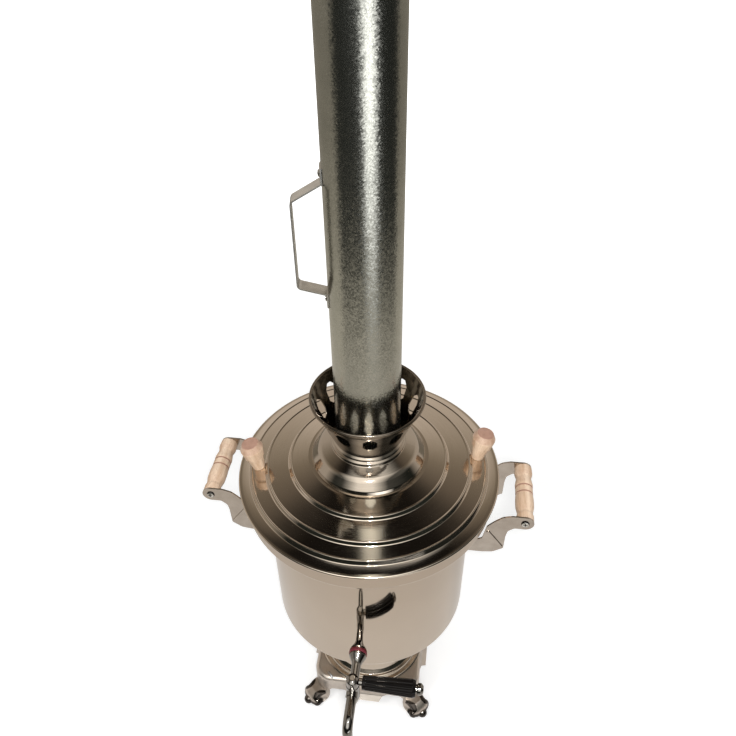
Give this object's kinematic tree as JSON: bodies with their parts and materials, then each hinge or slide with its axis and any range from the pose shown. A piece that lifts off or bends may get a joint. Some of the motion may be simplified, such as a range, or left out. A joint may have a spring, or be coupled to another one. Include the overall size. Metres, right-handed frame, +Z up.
{
  "type": "samovar",
  "caption": "Wood-fired samovar: round steel water vessel on a footed stand, stepped lid with wooden knobs, perforated crown, chimney pipe, side handles and a plug tap.",
  "frame": {"origin": "on the vessel's axis at the level of the feet's soles", "axes": "+Z up along the chimney; the tap points to -Y; the side handles stand on the X axis, the closed tap lever points to +X"},
  "size_m": [0.4086, 0.3923, 1.12],
  "materials": {
    "polished_steel": "mirror-polished stainless steel sheet with a warm cast",
    "polished_casting": "polished casting",
    "galvanised_steel": "galvanised sheet with a fine spangle",
    "steel_fasteners": "plain bright steel",
    "chrome": "bright chrome plate",
    "turned_wood": "turned beech, thin clear lacquer",
    "black_bakelite": "glossy moulded bakelite",
    "red_rubber": "soft matt rubber",
    "grate_iron": "as cast, sooty"
  },
  "bodies": {
    "root": {"stand": "polished_casting", "foot_front_left": "polished_casting", "foot_front_right": "polished_casting", "foot_rear_left": "polished_casting", "foot_rear_right": "polished_casting", "pedestal": "polished_steel", "pedestal_bolts": "steel_fasteners", "pedestal_nuts": "steel_fasteners", "ash_tray": "polished_steel", "grate": "grate_iron", "flue_tube": "polished_steel", "vessel_bottom": "polished_steel", "vessel_wall": "polished_steel", "top_collar": "polished_steel", "bracket_front_left": "polished_steel", "bracket_front_right": "polished_steel", "bracket_rear_left": "polished_steel", "bracket_rear_right": "polished_steel", "bracket_rivets": "steel_fasteners", "grip_left": "turned_wood", "grip_right": "turned_wood", "grip_screws": "steel_fasteners", "tap_gasket_outer": "red_rubber", "tap_gasket_inner": "red_rubber", "tap_washer": "steel_fasteners", "tap_lock_nut": "steel_fasteners", "tap_body": "chrome", "tap_spout": "chrome"},
    "plug": {"tap_plug": "chrome", "plug_spring": "steel_fasteners", "plug_washer": "steel_fasteners", "plug_nut": "steel_fasteners", "tap_lever": "chrome", "tap_grip": "black_bakelite", "tap_cap_nut": "chrome"},
    "lid": {"lid": "polished_steel", "lid_knob_left": "turned_wood", "lid_knob_right": "turned_wood", "knob_screws": "steel_fasteners", "knob_washers": "steel_fasteners"},
    "crown": {"crown_foot": "polished_steel", "crown_bowl": "polished_steel"},
    "pipe": {"chimney_pipe": "galvanised_steel", "pipe_handle": "polished_steel", "pipe_handle_rivets": "steel_fasteners"}
  },
  "joints": [
    {"name": "tap_turn", "type": "hinge", "parent": "root", "child": "plug", "pos_m": [0, -0.177, 0.244], "axis": [0, 0, 1], "range_deg": [-90, 0]},
    {"name": "lid_lift", "type": "slide", "parent": "root", "child": "lid", "axis": [0, 0, 1], "range_m": [0, 0.12]},
    {"name": "crown_lift", "type": "slide", "parent": "lid", "child": "crown", "axis": [0, 0, 1], "range_m": [0, 0.08]},
    {"name": "pipe_lift", "type": "slide", "parent": "crown", "child": "pipe", "axis": [0, 0, 1], "range_m": [0, 0.08]}
  ]
}
